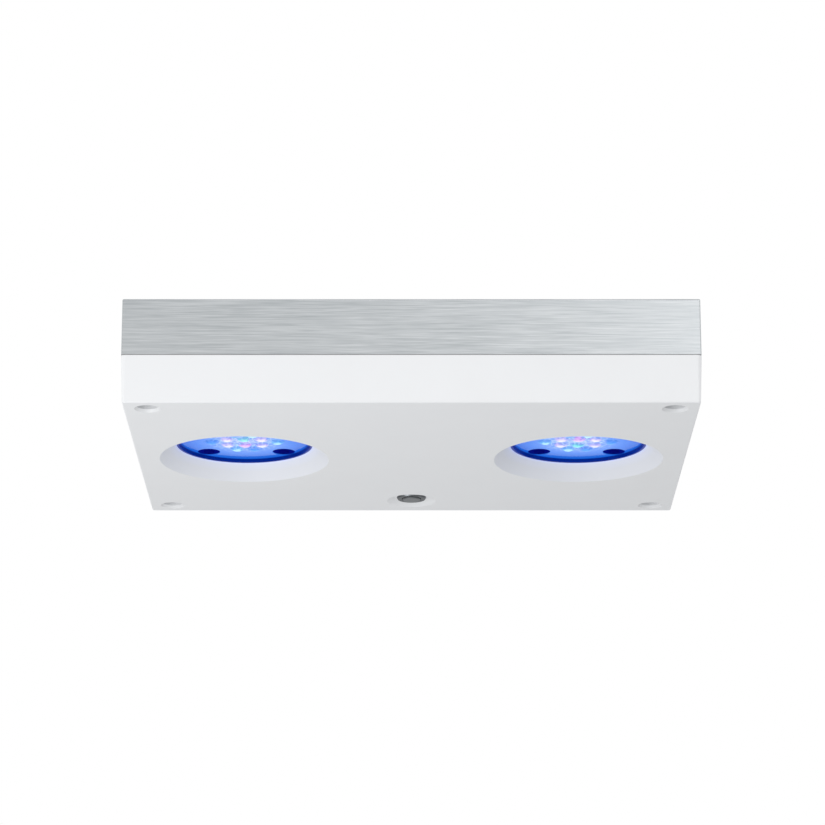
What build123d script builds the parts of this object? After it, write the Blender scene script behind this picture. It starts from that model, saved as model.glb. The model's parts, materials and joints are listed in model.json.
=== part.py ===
"""Two-module LED aquarium light: a white moulded lower cover under a brushed aluminium casing.

Millimetres, +Z up, front towards -Y. The origin is the centre of the flat underside.
"""

import math
import os

from build123d import *

# ---------------------------------------------------------------- driving sizes
cover_length = 300.0  # over the lip, along X
cover_width = 220.0  # over the lip, along Y
cover_height = 25.4
cover_draft = 1.0  # how much each side leans in towards the underside
cover_wall = 3.0
cover_corner = 1.5

casing_inset = 0.2  # the casing stands this far inside the lip
casing_sheet = 1.5
casing_corner = 0.8
seam_gasket_height = 0.5
overall_height = 56.0

module_x = 91.0  # the two light modules sit at plus and minus this
flare_mouth = 46.0  # radius of the flared recess at the underside
flare_throat = 37.2  # its radius at the top
flare_height = 8.4

screw_x = 136.5  # corner screws
screw_y = 97.5
button_y = 87.3

fan_size = 80.0
fan_depth = 15.0
fan_screw_offset = 35.75

driver_length = 148.0  # along Y
driver_width = 68.0
driver_y = -18.0  # centre of the driver board

inlet_x = 48.0
inlet_screw_offset = 9.0
hanger_x = 110.0
hanger_y = 80.0

# ---------------------------------------------------------------- heights that follow
casing_length = cover_length - 2 * casing_inset
casing_width = cover_width - 2 * casing_inset
casing_base = cover_height + seam_gasket_height
casing_ceiling = overall_height - casing_sheet

seat_z = flare_height + 1.2  # where the optic's gasket lies
optic_gasket_height = 0.6
optic_face = seat_z + optic_gasket_height
optic_plate = 2.4
optic_back = optic_face + optic_plate
board_face = optic_back + 0.5
board_thickness = 1.6
pad_base = board_face + board_thickness
pad_thickness = 0.5
sink_base = pad_base + pad_thickness
sink_plate = 4.0
sink_top = 38.0
sink_length = 104.0
sink_width = 100.5
fan_base = sink_top
fan_top = fan_base + fan_depth
driver_base = 14.0
driver_thickness = 1.6
driver_top = driver_base + driver_thickness
inlet_z = 41.0

# LED places on one module, from its centre, by colour. The right module is turned half round.
led_places = {
    "white": [(-9.3, 5.6), (9.3, 5.6), (-9.3, -5.6), (9.3, -5.6)],
    "cyan": [(-4.8, 13.6), (17.9, 0.0), (4.8, -13.6)],
    "royal_blue": [(4.8, 13.6), (-17.9, 0.0), (-4.8, -13.6)],
    "red": [(0.0, 5.6)],
    "green": [(0.0, -5.6)],
}
all_led_places = [place for places in led_places.values() for place in places]
optic_screw_place = 20.6  # optic screws at plus and minus this, both ways
sides = {"left": -module_x, "right": module_x}

os.makedirs("parts", exist_ok=True)


def save(part, name):
    """Labels a finished piece and writes its STEP file."""
    part.label = name
    export_step(part, f"parts/{name}.step")


def corners(x, y):
    """The four places at plus and minus x and y."""
    return [(sx * x, sy * y) for sx in (-1, 1) for sy in (-1, 1)]


def upright(x, y):
    """A plane through (x, y) whose own axes are X and Z, for profiles that are revolved."""
    return Plane(origin=(x, y, 0), x_dir=(1, 0, 0), z_dir=(0, -1, 0))


def at_modules(places):
    """Places given from a module's centre, on both modules, the right one turned half round."""
    left = [(x - module_x, y) for x, y in places]
    right = [(module_x - x, -y) for x, y in places]
    return left + right


# ---------------------------------------------------------------- upper casing
vent_radius = 37.0
vent_pitch = 8.0
vent_width = 3.2
wall_vent_height = 16.0
wall_vent_width = 3.0
wall_vent_z = 41.0
hanger_pilot = 3.4
inlet_hole = 5.6
edge_fillet = 0.8

with BuildPart() as upper_casing:
    with BuildSketch(Plane.XY.offset(casing_base)):
        RectangleRounded(casing_length, casing_width, casing_corner)
    extrude(amount=overall_height - casing_base)
    fillet(upper_casing.faces().sort_by(Axis.Z)[-1].edges(), edge_fillet)
    with BuildSketch(Plane.XY.offset(casing_base)):
        Rectangle(casing_length - 2 * casing_sheet, casing_width - 2 * casing_sheet)
    extrude(amount=casing_ceiling - casing_base, mode=Mode.SUBTRACT)
    # intake slots over each fan
    with BuildSketch(Plane.XY.offset(casing_ceiling)):
        for x in sides.values():
            for step in range(-4, 5):
                chord = 2 * math.sqrt(vent_radius**2 - (step * vent_pitch) ** 2)
                with Locations((x + step * vent_pitch, 0)):
                    SlotOverall(chord, vent_width, rotation=90)
    extrude(amount=casing_sheet, mode=Mode.SUBTRACT)
    # outlet slots in both end walls
    with BuildSketch(Plane.YZ):
        for step in range(-5, 6):
            with Locations((step * vent_pitch, wall_vent_z)):
                SlotOverall(wall_vent_height, wall_vent_width, rotation=90)
    extrude(amount=cover_length, both=True, mode=Mode.SUBTRACT)
    # outlet slots and the power inlet in the rear wall
    with BuildSketch(Plane.XZ.offset(-casing_width / 2)):
        for step in range(-4, 5):
            with Locations((step * vent_pitch, wall_vent_z)):
                SlotOverall(wall_vent_height, wall_vent_width, rotation=90)
        with Locations((inlet_x, inlet_z)):
            Circle(inlet_hole)
    extrude(amount=2 * casing_sheet, mode=Mode.SUBTRACT)
    with Locations(Plane.XZ.offset(-casing_width / 2)):
        with Locations(
            (inlet_x - inlet_screw_offset, inlet_z), (inlet_x + inlet_screw_offset, inlet_z)
        ):
            CounterSinkHole(1.35, 2.5, depth=2 * casing_sheet)
    # hanger nut holes
    with Locations(*[(x, y, overall_height) for x, y in corners(hanger_x, hanger_y)]):
        Hole(hanger_pilot, depth=2 * casing_sheet)
save(upper_casing.part, "upper_casing")

# ---------------------------------------------------------------- lower cover
recess_mouth = 6.9  # corner screw recess
recess_bore = 5.5
recess_lead = 1.5
recess_depth = 6.0
corner_boss_radius = 7.5
corner_boss_top = 12.0
corner_shank_hole = 2.2
dish_mouth = 13.9  # button dish
dish_floor_radius = 9.6
dish_depth = 2.0
switch_boss_radius = 17.0
switch_boss_top = 5.0
switch_hole = 7.6
switch_seal_radius = 8.3
switch_seal_height = 0.8
sink_boss_x = 45.0
sink_boss_y = 43.0
sink_boss_radius = 4.5
sink_pilot = 1.4
rib_height = 3.0  # how far the locating rib stands into the casing
rib_gap = 0.3
rib_wall = 2.2
rib_outer = casing_sheet + rib_gap
rib_inner = rib_outer + rib_wall
flare_wall = 42.5  # outside radius of the ring the optic seats on

with BuildPart() as lower_cover:
    with BuildSketch():
        RectangleRounded(
            cover_length - 2 * cover_draft, cover_width - 2 * cover_draft, cover_corner
        )
    extrude(amount=cover_height, taper=-math.degrees(math.atan(cover_draft / cover_height)))
    fillet(lower_cover.faces().sort_by(Axis.Z)[0].edges(), edge_fillet)
    with BuildSketch(Plane.XY.offset(cover_wall)):
        Rectangle(cover_length - 2 * cover_wall, cover_width - 2 * cover_wall)
    extrude(amount=cover_height, mode=Mode.SUBTRACT)
    # locating rib that stands inside the casing's walls
    with BuildSketch(Plane.XY.offset(cover_height - 2 * rib_height)):
        Rectangle(casing_length - 2 * rib_outer, casing_width - 2 * rib_outer)
        Rectangle(casing_length - 2 * rib_inner, casing_width - 2 * rib_inner, mode=Mode.SUBTRACT)
    extrude(amount=3 * rib_height)
    # flared recess for each light module
    with Locations((-module_x, 0, 0), (module_x, 0, 0)):
        Cylinder(
            flare_mouth + 0.5, 2 * cover_wall, align=(Align.CENTER, Align.CENTER, Align.CENTER),
            mode=Mode.SUBTRACT,
        )
    for x in sides.values():
        with BuildSketch(upright(x, 0)):
            with BuildLine():
                Polyline(
                    (flare_mouth, 0),
                    (flare_throat, flare_height),
                    (flare_throat, seat_z),
                    (flare_wall, seat_z),
                    (flare_wall, flare_height - 0.9),
                    (flare_mouth + 1.5, cover_wall),
                    (flare_mouth + 1.5, 0),
                    close=True,
                )
            make_face()
        revolve(axis=Axis((x, 0, 0), (0, 0, 1)))
    # corner bosses, sink bosses, board bosses and the switch boss
    with Locations(*[(x, y, 1) for x, y in corners(screw_x, screw_y)]):
        Cylinder(corner_boss_radius, corner_boss_top - 1, align=(Align.CENTER, Align.CENTER, Align.MIN))
    with Locations(
        *[(x + dx, dy, 1) for x in sides.values() for dx, dy in corners(sink_boss_x, sink_boss_y)]
    ):
        Cylinder(sink_boss_radius, sink_base - 1, align=(Align.CENTER, Align.CENTER, Align.MIN))
    with Locations((0, button_y, 1)):
        Cylinder(switch_boss_radius, switch_boss_top - 1, align=(Align.CENTER, Align.CENTER, Align.MIN))
    # screw holes in the sink bosses
    with Locations(
        *[(x + dx, dy, sink_base) for x in sides.values() for dx, dy in corners(sink_boss_x, sink_boss_y)]
    ):
        Hole(sink_pilot, depth=10)
    # corner recesses: a flared mouth, a round well for the head and the shank hole
    with Locations(*[(x, y, 0) for x, y in corners(screw_x, screw_y)]):
        Cone(
            recess_mouth, recess_bore, recess_lead,
            align=(Align.CENTER, Align.CENTER, Align.MIN), mode=Mode.SUBTRACT,
        )
        Cylinder(
            recess_bore, recess_depth,
            align=(Align.CENTER, Align.CENTER, Align.MIN), mode=Mode.SUBTRACT,
        )
        Cylinder(
            corner_shank_hole, corner_boss_top,
            align=(Align.CENTER, Align.CENTER, Align.MIN), mode=Mode.SUBTRACT,
        )
    # button dish and its hole
    with Locations((0, button_y, 0)):
        Cone(
            dish_mouth, dish_floor_radius, dish_depth,
            align=(Align.CENTER, Align.CENTER, Align.MIN), mode=Mode.SUBTRACT,
        )
        Cylinder(
            switch_seal_radius, dish_depth + switch_seal_height,
            align=(Align.CENTER, Align.CENTER, Align.MIN), mode=Mode.SUBTRACT,
        )
        Cylinder(
            switch_hole, switch_boss_top + 1,
            align=(Align.CENTER, Align.CENTER, Align.MIN), mode=Mode.SUBTRACT,
        )
save(lower_cover.part, "lower_cover")

# ---------------------------------------------------------------- seam gasket, posts and corner screws
with BuildPart() as seam_gasket:
    with BuildSketch(Plane.XY.offset(cover_height)):
        RectangleRounded(casing_length - 0.4, casing_width - 0.4, casing_corner)
        Rectangle(
            casing_length - 2 * casing_sheet, casing_width - 2 * casing_sheet, mode=Mode.SUBTRACT
        )
    extrude(amount=seam_gasket_height)
save(seam_gasket.part, "seam_gasket")

post_half_width = 4.0
post_bore = 2.05
with BuildPart() as casing_posts:
    with BuildSketch(Plane.XY.offset(corner_boss_top)):
        with Locations(*corners(screw_x, screw_y)):
            RegularPolygon(post_half_width, 6, major_radius=False)
            Circle(post_bore, mode=Mode.SUBTRACT)
    extrude(amount=casing_ceiling - corner_boss_top)
save(casing_posts.part, "casing_posts")

corner_head_radius = 3.8
corner_head_height = 2.6
corner_shank = 1.95
corner_screw_length = 22.0
with BuildPart() as corner_screws:
    with Locations(*[(x, y, recess_depth - corner_head_height) for x, y in corners(screw_x, screw_y)]):
        Cylinder(corner_head_radius, corner_head_height, align=(Align.CENTER, Align.CENTER, Align.MIN))
    with Locations(*[(x, y, recess_depth) for x, y in corners(screw_x, screw_y)]):
        Cylinder(corner_shank, corner_screw_length, align=(Align.CENTER, Align.CENTER, Align.MIN))
    with BuildSketch(Plane.XY.offset(recess_depth - corner_head_height)):
        with Locations(*corners(screw_x, screw_y)):
            RegularPolygon(1.5, 6, major_radius=False)
    extrude(amount=1.6, mode=Mode.SUBTRACT)
save(corner_screws.part, "corner_screws")

hanger_bore = 2.1
hanger_nut_height = 5.0
hanger_nut_half_width = 4.5
with BuildPart() as hanger_nuts:
    with BuildSketch(Plane.XY.offset(casing_ceiling - hanger_nut_height)):
        with Locations(*corners(hanger_x, hanger_y)):
            RegularPolygon(hanger_nut_half_width, 6, major_radius=False)
            Circle(hanger_bore, mode=Mode.SUBTRACT)
    extrude(amount=hanger_nut_height)
    with BuildSketch(Plane.XY.offset(casing_ceiling)):
        with Locations(*corners(hanger_x, hanger_y)):
            Circle(hanger_pilot)
            Circle(hanger_bore, mode=Mode.SUBTRACT)
    extrude(amount=casing_sheet)
save(hanger_nuts.part, "hanger_nuts")

# ---------------------------------------------------------------- optics, boards and LEDs
optic_radius = 41.5
optic_rim_outer = 37.0
optic_rim_inner = 36.0
lenslet_radius = 4.2
lenslet_height = 1.5
lenslet_sphere = (lenslet_radius**2 + lenslet_height**2) / (2 * lenslet_height)
pocket_radius = 2.7  # over each LED's dome
pocket_depth = 1.2
well_radius = 6.3
well_depth = 1.2
spacer_radius = 4.0
optic_screw_hole = 1.7
board_radius = 36.0
board_tab_end = 50.5
board_tab_width = 14.0
led_width = 3.5
led_body = 0.8
led_dome = 1.3


def make_optic(side, x):
    """Clear moulded optic: a plate with a turned-down rim, a lenslet under each LED and four screw wells."""
    turn = 1 if side == "left" else -1
    with BuildPart() as optic:
        with Locations((x, 0, optic_face)):
            Cylinder(optic_radius, optic_plate, align=(Align.CENTER, Align.CENTER, Align.MIN))
        with BuildSketch(Plane.XY.offset(flare_height)):
            with Locations((x, 0)):
                Circle(optic_rim_outer)
                Circle(optic_rim_inner, mode=Mode.SUBTRACT)
        extrude(amount=optic_face - flare_height)
        for px, py in all_led_places:
            with BuildSketch(upright(x + turn * px, turn * py)):
                with Locations((0, optic_face - lenslet_height + lenslet_sphere)):
                    Circle(lenslet_sphere)
                with Locations((0, optic_face + 0.4)):
                    Rectangle(
                        2 * lenslet_sphere, 2 * lenslet_sphere,
                        align=(Align.CENTER, Align.MIN), mode=Mode.SUBTRACT,
                    )
                with Locations((0, optic_face)):
                    Rectangle(
                        lenslet_sphere, 4 * lenslet_sphere,
                        align=(Align.MAX, Align.CENTER), mode=Mode.SUBTRACT,
                    )
            revolve(axis=Axis((x + turn * px, turn * py, 0), (0, 0, 1)))
        # pockets for the LED domes
        with BuildSketch(Plane.XY.offset(optic_back - pocket_depth)):
            with Locations(*[(x + turn * px, turn * py) for px, py in all_led_places]):
                Circle(pocket_radius)
        extrude(amount=pocket_depth, mode=Mode.SUBTRACT)
        # screw wells, their holes and the pads that space the plate off the board
        with BuildSketch(Plane.XY.offset(optic_back)):
            with Locations(*[(x + dx, dy) for dx, dy in corners(optic_screw_place, optic_screw_place)]):
                Circle(spacer_radius)
        extrude(amount=board_face - optic_back)
        with BuildSketch(Plane.XY.offset(optic_face)):
            with Locations(*[(x + dx, dy) for dx, dy in corners(optic_screw_place, optic_screw_place)]):
                Circle(well_radius)
        extrude(amount=well_depth, mode=Mode.SUBTRACT)
        with BuildSketch(Plane.XY.offset(optic_face)):
            with Locations(*[(x + dx, dy) for dx, dy in corners(optic_screw_place, optic_screw_place)]):
                Circle(optic_screw_hole)
        extrude(amount=board_face - optic_face, mode=Mode.SUBTRACT)
    save(optic.part, f"optic_{side}")


def make_optic_gasket(side, x):
    """Silicone ring between the flare's seat and the optic's flange."""
    with BuildPart() as ring:
        with BuildSketch(Plane.XY.offset(seat_z)):
            with Locations((x, 0)):
                Circle(optic_radius - 0.5)
                Circle(optic_rim_outer + 0.6, mode=Mode.SUBTRACT)
        extrude(amount=optic_gasket_height)
    save(ring.part, f"optic_gasket_{side}")


def make_led_board(side, x):
    """Round metal-core board with a tab towards the middle bay for its connector."""
    turn = 1 if side == "left" else -1
    with BuildPart() as board:
        with BuildSketch(Plane.XY.offset(board_face)):
            with Locations((x, 0)):
                Circle(board_radius)
            with Locations((x + turn * board_tab_end / 2, 0)):
                Rectangle(board_tab_end, board_tab_width)
            with Locations(*[(x + dx, dy) for dx, dy in corners(optic_screw_place, optic_screw_place)]):
                Circle(optic_screw_hole, mode=Mode.SUBTRACT)
        extrude(amount=board_thickness)
    save(board.part, f"led_board_{side}")


def make_thermal_pad(side, x):
    """Thin graphite pad between the board and the heat sink."""
    with BuildPart() as pad:
        with BuildSketch(Plane.XY.offset(pad_base)):
            with Locations((x, 0)):
                Circle(board_radius)
            with Locations(*[(x + dx, dy) for dx, dy in corners(optic_screw_place, optic_screw_place)]):
                Circle(1.9, mode=Mode.SUBTRACT)
        extrude(amount=pad_thickness)
    save(pad.part, f"thermal_pad_{side}")


fin_pitch = 5.5
fin_thickness = 1.5
fin_count = 19
sink_head_clearance = 4.2
sink_screw_hole = 1.7
optic_screw_bore = 1.5


def make_heat_sink(side, x):
    """Extruded heat sink: a base plate with straight fins along X, cleared at the corners for its screws."""
    with BuildPart() as sink:
        with BuildSketch(Plane.XY.offset(sink_base)):
            with Locations((x, 0)):
                Rectangle(sink_length, sink_width)
        extrude(amount=sink_plate)
        with BuildSketch(Plane.XY.offset(sink_base + sink_plate)):
            with Locations((x, 0)):
                with GridLocations(1, fin_pitch, 1, fin_count):
                    Rectangle(sink_length, fin_thickness)
        extrude(amount=sink_top - sink_base - sink_plate)
        with BuildSketch(Plane.XY.offset(sink_base + sink_plate)):
            with Locations(*[(x + dx, dy) for dx, dy in corners(sink_boss_x, sink_boss_y)]):
                Circle(sink_head_clearance)
        extrude(amount=sink_top, mode=Mode.SUBTRACT)
        with BuildSketch(Plane.XY.offset(sink_base)):
            with Locations(*[(x + dx, dy) for dx, dy in corners(sink_boss_x, sink_boss_y)]):
                Circle(sink_screw_hole)
        extrude(amount=sink_plate, mode=Mode.SUBTRACT)
        with BuildSketch(Plane.XY.offset(sink_base)):
            with Locations(*[(x + dx, dy) for dx, dy in corners(optic_screw_place, optic_screw_place)]):
                Circle(optic_screw_bore)
        extrude(amount=2 * sink_plate, mode=Mode.SUBTRACT)
    save(sink.part, f"heat_sink_{side}")


for side, x in sides.items():
    make_optic(side, x)
    make_optic_gasket(side, x)
    make_led_board(side, x)
    make_thermal_pad(side, x)
    make_heat_sink(side, x)

for colour, places in led_places.items():
    with BuildPart() as leds:
        with BuildSketch(Plane.XY.offset(board_face)):
            with Locations(*at_modules(places)):
                Rectangle(led_width, led_width)
        extrude(amount=-led_body)
        with Locations(*[(px, py, board_face - led_body) for px, py in at_modules(places)]):
            Sphere(led_dome, arc_size1=-90, arc_size2=0)
    save(leds.part, f"leds_{colour}")

optic_screw_spots = [
    (x + dx, dy)
    for x in sides.values()
    for dx, dy in corners(optic_screw_place, optic_screw_place)
]
washer_thickness = 0.8
small_head = 2.8
small_shank = 1.35
with BuildPart() as optic_washers:
    with BuildSketch(Plane.XY.offset(optic_face + well_depth)):
        with Locations(*optic_screw_spots):
            Circle(well_radius - 0.15)
            Circle(optic_screw_hole, mode=Mode.SUBTRACT)
    extrude(amount=-washer_thickness)
save(optic_washers.part, "optic_washers")

screw_head_top = optic_face + well_depth - washer_thickness
optic_head_height = 1.1
optic_screw_length = 9.0
with BuildPart() as optic_screws:
    with BuildSketch(Plane.XY.offset(screw_head_top)):
        with Locations(*optic_screw_spots):
            Circle(small_head)
    extrude(amount=-optic_head_height)
    fillet(optic_screws.faces().group_by(Axis.Z)[0].edges(), 0.5)
    with BuildSketch(Plane.XY.offset(screw_head_top)):
        with Locations(*optic_screw_spots):
            Circle(optic_screw_bore - 0.05)
    extrude(amount=optic_screw_length)
    with BuildSketch(Plane.XY.offset(screw_head_top - optic_head_height)):
        with Locations(*optic_screw_spots):
            RegularPolygon(1.0, 6, major_radius=False)
    extrude(amount=0.8, mode=Mode.SUBTRACT)
save(optic_screws.part, "optic_screws")

sink_screw_spots = [
    (x + dx, dy) for x in sides.values() for dx, dy in corners(sink_boss_x, sink_boss_y)
]
sink_head_height = 2.0
sink_screw_length = 12.0
cross_length = 3.2
cross_width = 0.7
with BuildPart() as sink_screws:
    with BuildSketch(Plane.XY.offset(sink_base + sink_plate)):
        with Locations(*sink_screw_spots):
            Circle(small_head)
    extrude(amount=sink_head_height)
    with BuildSketch(Plane.XY.offset(sink_base + sink_plate)):
        with Locations(*sink_screw_spots):
            Circle(small_shank)
    extrude(amount=-sink_screw_length)
    with BuildSketch(Plane.XY.offset(sink_base + sink_plate + sink_head_height)):
        with Locations(*sink_screw_spots):
            Rectangle(cross_length, cross_width)
            Rectangle(cross_width, cross_length)
    extrude(amount=-1.1, mode=Mode.SUBTRACT)
save(sink_screws.part, "sink_screws")

connector_offset = 47.0  # from a module's centre towards the middle bay
connector_height = 4.2
connector_length = 6.0
with BuildPart() as board_connectors:
    with Locations(*[(way * (module_x - connector_offset), 0, board_face) for way in (-1, 1)]):
        Box(connector_length, 9, connector_height, align=(Align.CENTER, Align.CENTER, Align.MAX))
save(board_connectors.part, "board_connectors")

# ---------------------------------------------------------------- fans
blade_count = 9
hub_radius = 17.5
hub_wall = 1.3
hub_roof = 1.6
magnet_wall = 1.6
magnet_height = 8.0
blade_tip = 37.4
fan_bore = 38.6
fan_screw_hole = 2.15
tube_outer = 4.0
shaft_radius = 1.5
shaft_clearance = 0.05
sleeve_outer = 3.0
strut_thickness = 2.0
hub_base = fan_base + 3.2
hub_top = fan_top - 0.8
tube_top = hub_top - 3.0


def make_fan_frame(side, x):
    """Square fan frame with a round duct, four struts and the motor plate with its bearing tube."""
    with BuildPart() as frame:
        with BuildSketch(Plane.XY.offset(fan_base)):
            with Locations((x, 0)):
                RectangleRounded(fan_size, fan_size, 4)
                Circle(fan_bore, mode=Mode.SUBTRACT)
            with Locations(*[(x + dx, dy) for dx, dy in corners(fan_screw_offset, fan_screw_offset)]):
                Circle(fan_screw_hole, mode=Mode.SUBTRACT)
        extrude(amount=fan_depth)
        with BuildSketch(Plane.XY.offset(fan_base)):
            with Locations((x, 0)):
                Circle(hub_radius)
                with PolarLocations(0, 4, start_angle=20):
                    Rectangle(fan_bore + 1, 3.2, align=(Align.MIN, Align.CENTER))
        extrude(amount=strut_thickness)
        with Locations((x, 0, fan_base)):
            Cylinder(tube_outer, tube_top - fan_base, align=(Align.CENTER, Align.CENTER, Align.MIN))
            Cylinder(
                sleeve_outer, fan_depth, align=(Align.CENTER, Align.CENTER, Align.MIN),
                mode=Mode.SUBTRACT,
            )
    save(frame.part, f"fan_frame_{side}")


def make_fan_stator(side, x):
    """Four-pole stator round the bearing tube."""
    with BuildPart() as stator:
        with BuildSketch(Plane.XY.offset(fan_base + strut_thickness + 1.5)):
            with Locations((x, 0)):
                Circle(7.5)
                with PolarLocations(0, 4):
                    Rectangle(13.4, 5, align=(Align.MIN, Align.CENTER))
                with PolarLocations(11.6, 4):
                    Rectangle(2.6, 13)
                Circle(tube_outer, mode=Mode.SUBTRACT)
        extrude(amount=5.5)
    save(stator.part, f"fan_stator_{side}")


def make_fan_bearing(side, x):
    """Plain bearing sleeve in the tube."""
    with BuildPart() as sleeve:
        with BuildSketch(Plane.XY.offset(fan_base)):
            with Locations((x, 0)):
                Circle(sleeve_outer)
                Circle(shaft_radius + shaft_clearance, mode=Mode.SUBTRACT)
        extrude(amount=tube_top - fan_base)
    save(sleeve.part, f"fan_bearing_{side}")


def make_fan_rotor(side, x):
    """Hub cup with swept and twisted blades."""
    with BuildPart() as rotor:
        with Locations((x, 0, hub_base)):
            Cylinder(hub_radius, hub_top - hub_base, align=(Align.CENTER, Align.CENTER, Align.MIN))
        fillet(rotor.faces().sort_by(Axis.Z)[-1].edges(), 1.0)
        with Locations((x, 0, hub_base)):
            Cylinder(
                hub_radius - hub_wall, hub_top - hub_base - hub_roof,
                align=(Align.CENTER, Align.CENTER, Align.MIN), mode=Mode.SUBTRACT,
            )
        middle = (hub_base + hub_top) / 2
        for number in range(blade_count):
            angle = 360 / blade_count * number
            stations = [(hub_radius - 0.7, 0, 38, 11.5), (27.5, 5, 31, 13.5), (blade_tip, 12, 25, 15.5)]
            with BuildPart(mode=Mode.PRIVATE) as blade:
                for radius, sweep, tilt, chord in stations:
                    turn = math.radians(angle + sweep)
                    outward = Vector(math.cos(turn), math.sin(turn), 0)
                    across = Vector(-math.sin(turn), math.cos(turn), 0)
                    lean = math.radians(tilt)
                    chordwise = across * math.cos(lean) + Vector(0, 0, math.sin(lean))
                    centre = Vector(x, 0, middle) + outward * radius
                    with BuildSketch(Plane(origin=centre, x_dir=chordwise, z_dir=outward)):
                        Rectangle(chord, 1.2)
                loft()
            add(blade.part)
    save(rotor.part, f"fan_rotor_{side}")


def make_fan_magnet(side, x):
    """Magnet ring pressed in the hub cup."""
    with BuildPart() as magnet:
        with BuildSketch(Plane.XY.offset(hub_base + 0.4)):
            with Locations((x, 0)):
                Circle(hub_radius - hub_wall)
                Circle(hub_radius - hub_wall - magnet_wall, mode=Mode.SUBTRACT)
        extrude(amount=magnet_height)
    save(magnet.part, f"fan_magnet_{side}")


def make_fan_shaft(side, x):
    """Steel shaft from the hub's roof down the bearing."""
    with BuildPart() as shaft:
        with Locations((x, 0, fan_base + 0.8)):
            Cylinder(
                shaft_radius, hub_top - hub_roof - fan_base - 0.8,
                align=(Align.CENTER, Align.CENTER, Align.MIN),
            )
        chamfer(shaft.faces().sort_by(Axis.Z)[0].edges(), 0.3)
    save(shaft.part, f"fan_shaft_{side}")


for side, x in sides.items():
    make_fan_frame(side, x)
    make_fan_stator(side, x)
    make_fan_bearing(side, x)
    make_fan_rotor(side, x)
    make_fan_magnet(side, x)
    make_fan_shaft(side, x)

fan_screw_spots = [
    (x + dx, dy) for x in sides.values() for dx, dy in corners(fan_screw_offset, fan_screw_offset)
]
fan_head_radius = 3.4
fan_head_height = 1.2
fan_screw_length = 24.0
with BuildPart() as fan_screws:
    with BuildSketch(Plane.XY.offset(fan_top)):
        with Locations(*fan_screw_spots):
            Circle(fan_head_radius)
    extrude(amount=fan_head_height)
    with BuildSketch(Plane.XY.offset(fan_top)):
        with Locations(*fan_screw_spots):
            Circle(fan_screw_hole - 0.25)
    extrude(amount=-fan_screw_length)
    with BuildSketch(Plane.XY.offset(fan_top + fan_head_height)):
        with Locations(*fan_screw_spots):
            Rectangle(cross_length, cross_width)
            Rectangle(cross_width, cross_length)
    extrude(amount=-0.8, mode=Mode.SUBTRACT)
save(fan_screws.part, "fan_screws")

# ---------------------------------------------------------------- driver board
driver_rear = driver_y + driver_length / 2
driver_screw_x = 29.0
driver_screw_y = 69.0
driver_screw_spots = [(x, driver_y + y) for x, y in corners(driver_screw_x, driver_screw_y)]

with BuildPart() as driver_standoffs:
    with BuildSketch(Plane.XY.offset(cover_wall)):
        with Locations(*driver_screw_spots):
            RegularPolygon(2.75, 6, major_radius=False)
            Circle(1.4, mode=Mode.SUBTRACT)
    extrude(amount=driver_base - cover_wall)
save(driver_standoffs.part, "driver_standoffs")

with BuildPart() as driver_board:
    with BuildSketch(Plane.XY.offset(driver_base)):
        with Locations((0, driver_y)):
            RectangleRounded(driver_width, driver_length, 2)
        with Locations(*driver_screw_spots):
            Circle(1.6, mode=Mode.SUBTRACT)
    extrude(amount=driver_thickness)
save(driver_board.part, "driver_board")

with BuildPart() as driver_screws:
    with BuildSketch(Plane.XY.offset(driver_top)):
        with Locations(*driver_screw_spots):
            Circle(small_head)
    extrude(amount=1.8)
    with BuildSketch(Plane.XY.offset(driver_top)):
        with Locations(*driver_screw_spots):
            Circle(small_shank)
    extrude(amount=-8)
save(driver_screws.part, "driver_screws")

inductor_spots = [(x, driver_y + y) for x in (-17, 17) for y in (-40, -14, 12)]
with BuildPart() as driver_inductors:
    with BuildSketch(Plane.XY.offset(driver_top)):
        with Locations(*inductor_spots):
            RectangleRounded(12.5, 12.5, 2)
    extrude(amount=8)
    chamfer(driver_inductors.faces().group_by(Axis.Z)[-1].edges(), 0.6)
save(driver_inductors.part, "driver_inductors")

capacitor_spots = [(-12, driver_y + 38), (0, driver_y + 38), (12, driver_y + 38)]
with BuildPart() as driver_capacitors:
    with BuildSketch(Plane.XY.offset(driver_top)):
        with Locations(*capacitor_spots):
            Circle(5)
    extrude(amount=16)
    fillet(driver_capacitors.faces().group_by(Axis.Z)[-1].edges(), 0.6)
save(driver_capacitors.part, "driver_capacitors")

chip_spots = [(0, driver_y + y) for y in (-56, -40, -27, -14, -1, 12, 24)]
with BuildPart() as driver_chips:
    with BuildSketch(Plane.XY.offset(driver_top)):
        with Locations(*chip_spots):
            Rectangle(8, 6)
    extrude(amount=1.6)
save(driver_chips.part, "driver_chips")

header_x = 30.0
led_header_y = 0.0
fan_header_y = -30.0
button_header_y = driver_rear - 6
inlet_header_x = 19.0
header_height = 7.0
with BuildPart() as driver_headers:
    for y in (led_header_y, fan_header_y):
        with Locations((-header_x, y, driver_top), (header_x, y, driver_top)):
            Box(6, 10, header_height, align=(Align.CENTER, Align.CENTER, Align.MIN))
    with Locations((0, button_header_y, driver_top), (inlet_header_x, button_header_y, driver_top)):
        Box(10, 6, header_height, align=(Align.CENTER, Align.CENTER, Align.MIN))
save(driver_headers.part, "driver_headers")

# ---------------------------------------------------------------- push button
bezel_radius = 8.4
bezel_face_radius = 7.8
bezel_drop = 1.0
body_radius = 7.5
body_top = 18.0
cap_radius = 5.0
cap_gap = 0.08
chamber_radius = 6.0
lip_top = 3.6
cap_face = 0.3
cap_travel = 1.2
shoulder_top = lip_top + 1.4
stem_radius = 2.0
spring_top = 9.2
switch_block_top = body_top + 3
button_spot = (0, button_y)

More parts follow.
